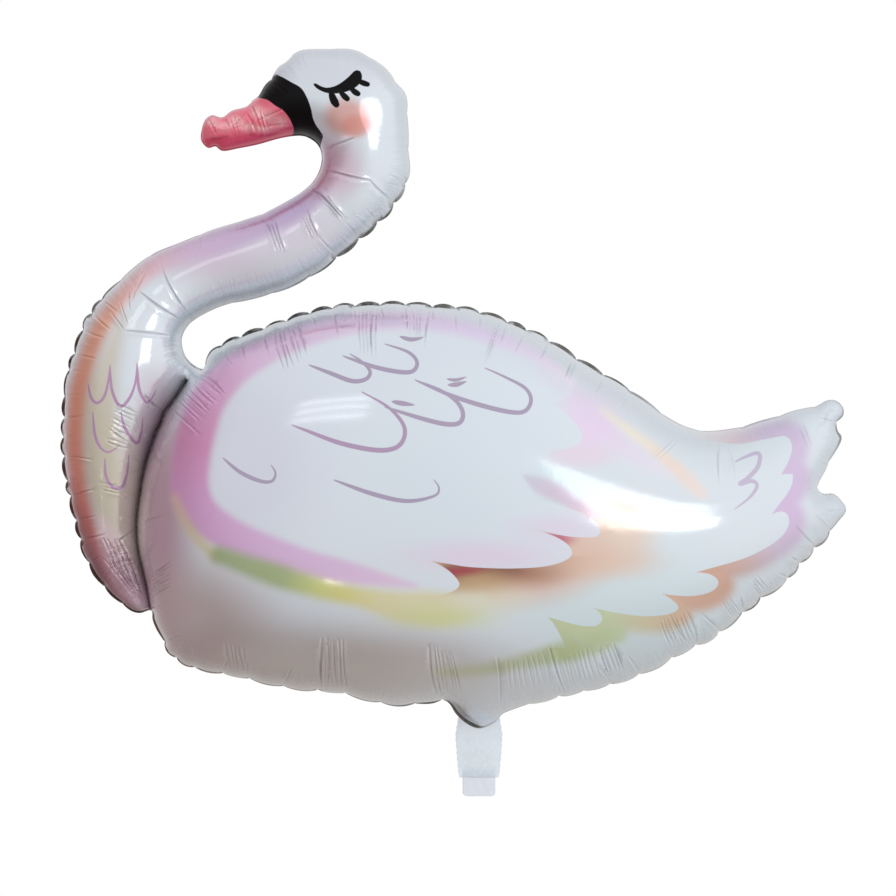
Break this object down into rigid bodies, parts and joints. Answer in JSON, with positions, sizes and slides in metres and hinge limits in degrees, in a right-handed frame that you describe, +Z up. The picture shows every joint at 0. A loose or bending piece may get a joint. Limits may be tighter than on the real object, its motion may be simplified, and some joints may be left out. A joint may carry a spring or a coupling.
{
  "type": "swan foil balloon",
  "caption": "Upright swan shaped foil balloon with a curved neck lobe, a full body, an upswept tail, a scalloped welded hem and a flat filling tail for its ribbon.",
  "frame": {"origin": "where the ribbon is tied round the filling tail, in the middle of the tail's width and thickness", "axes": "+Z up, +X from the beak towards the tail, +Y to the swan's right side, with the two halves mirrored in the XZ plane"},
  "size_m": [0.8496, 0.2542, 0.8106],
  "materials": {
    "printed_film": "satin pearl print on metallised film",
    "sleeve_film": "clear film with a bluish cast"
  },
  "bodies": {
    "root": {"swan_balloon": "printed_film", "valve_sleeve": "sleeve_film"}
  },
  "joints": []
}
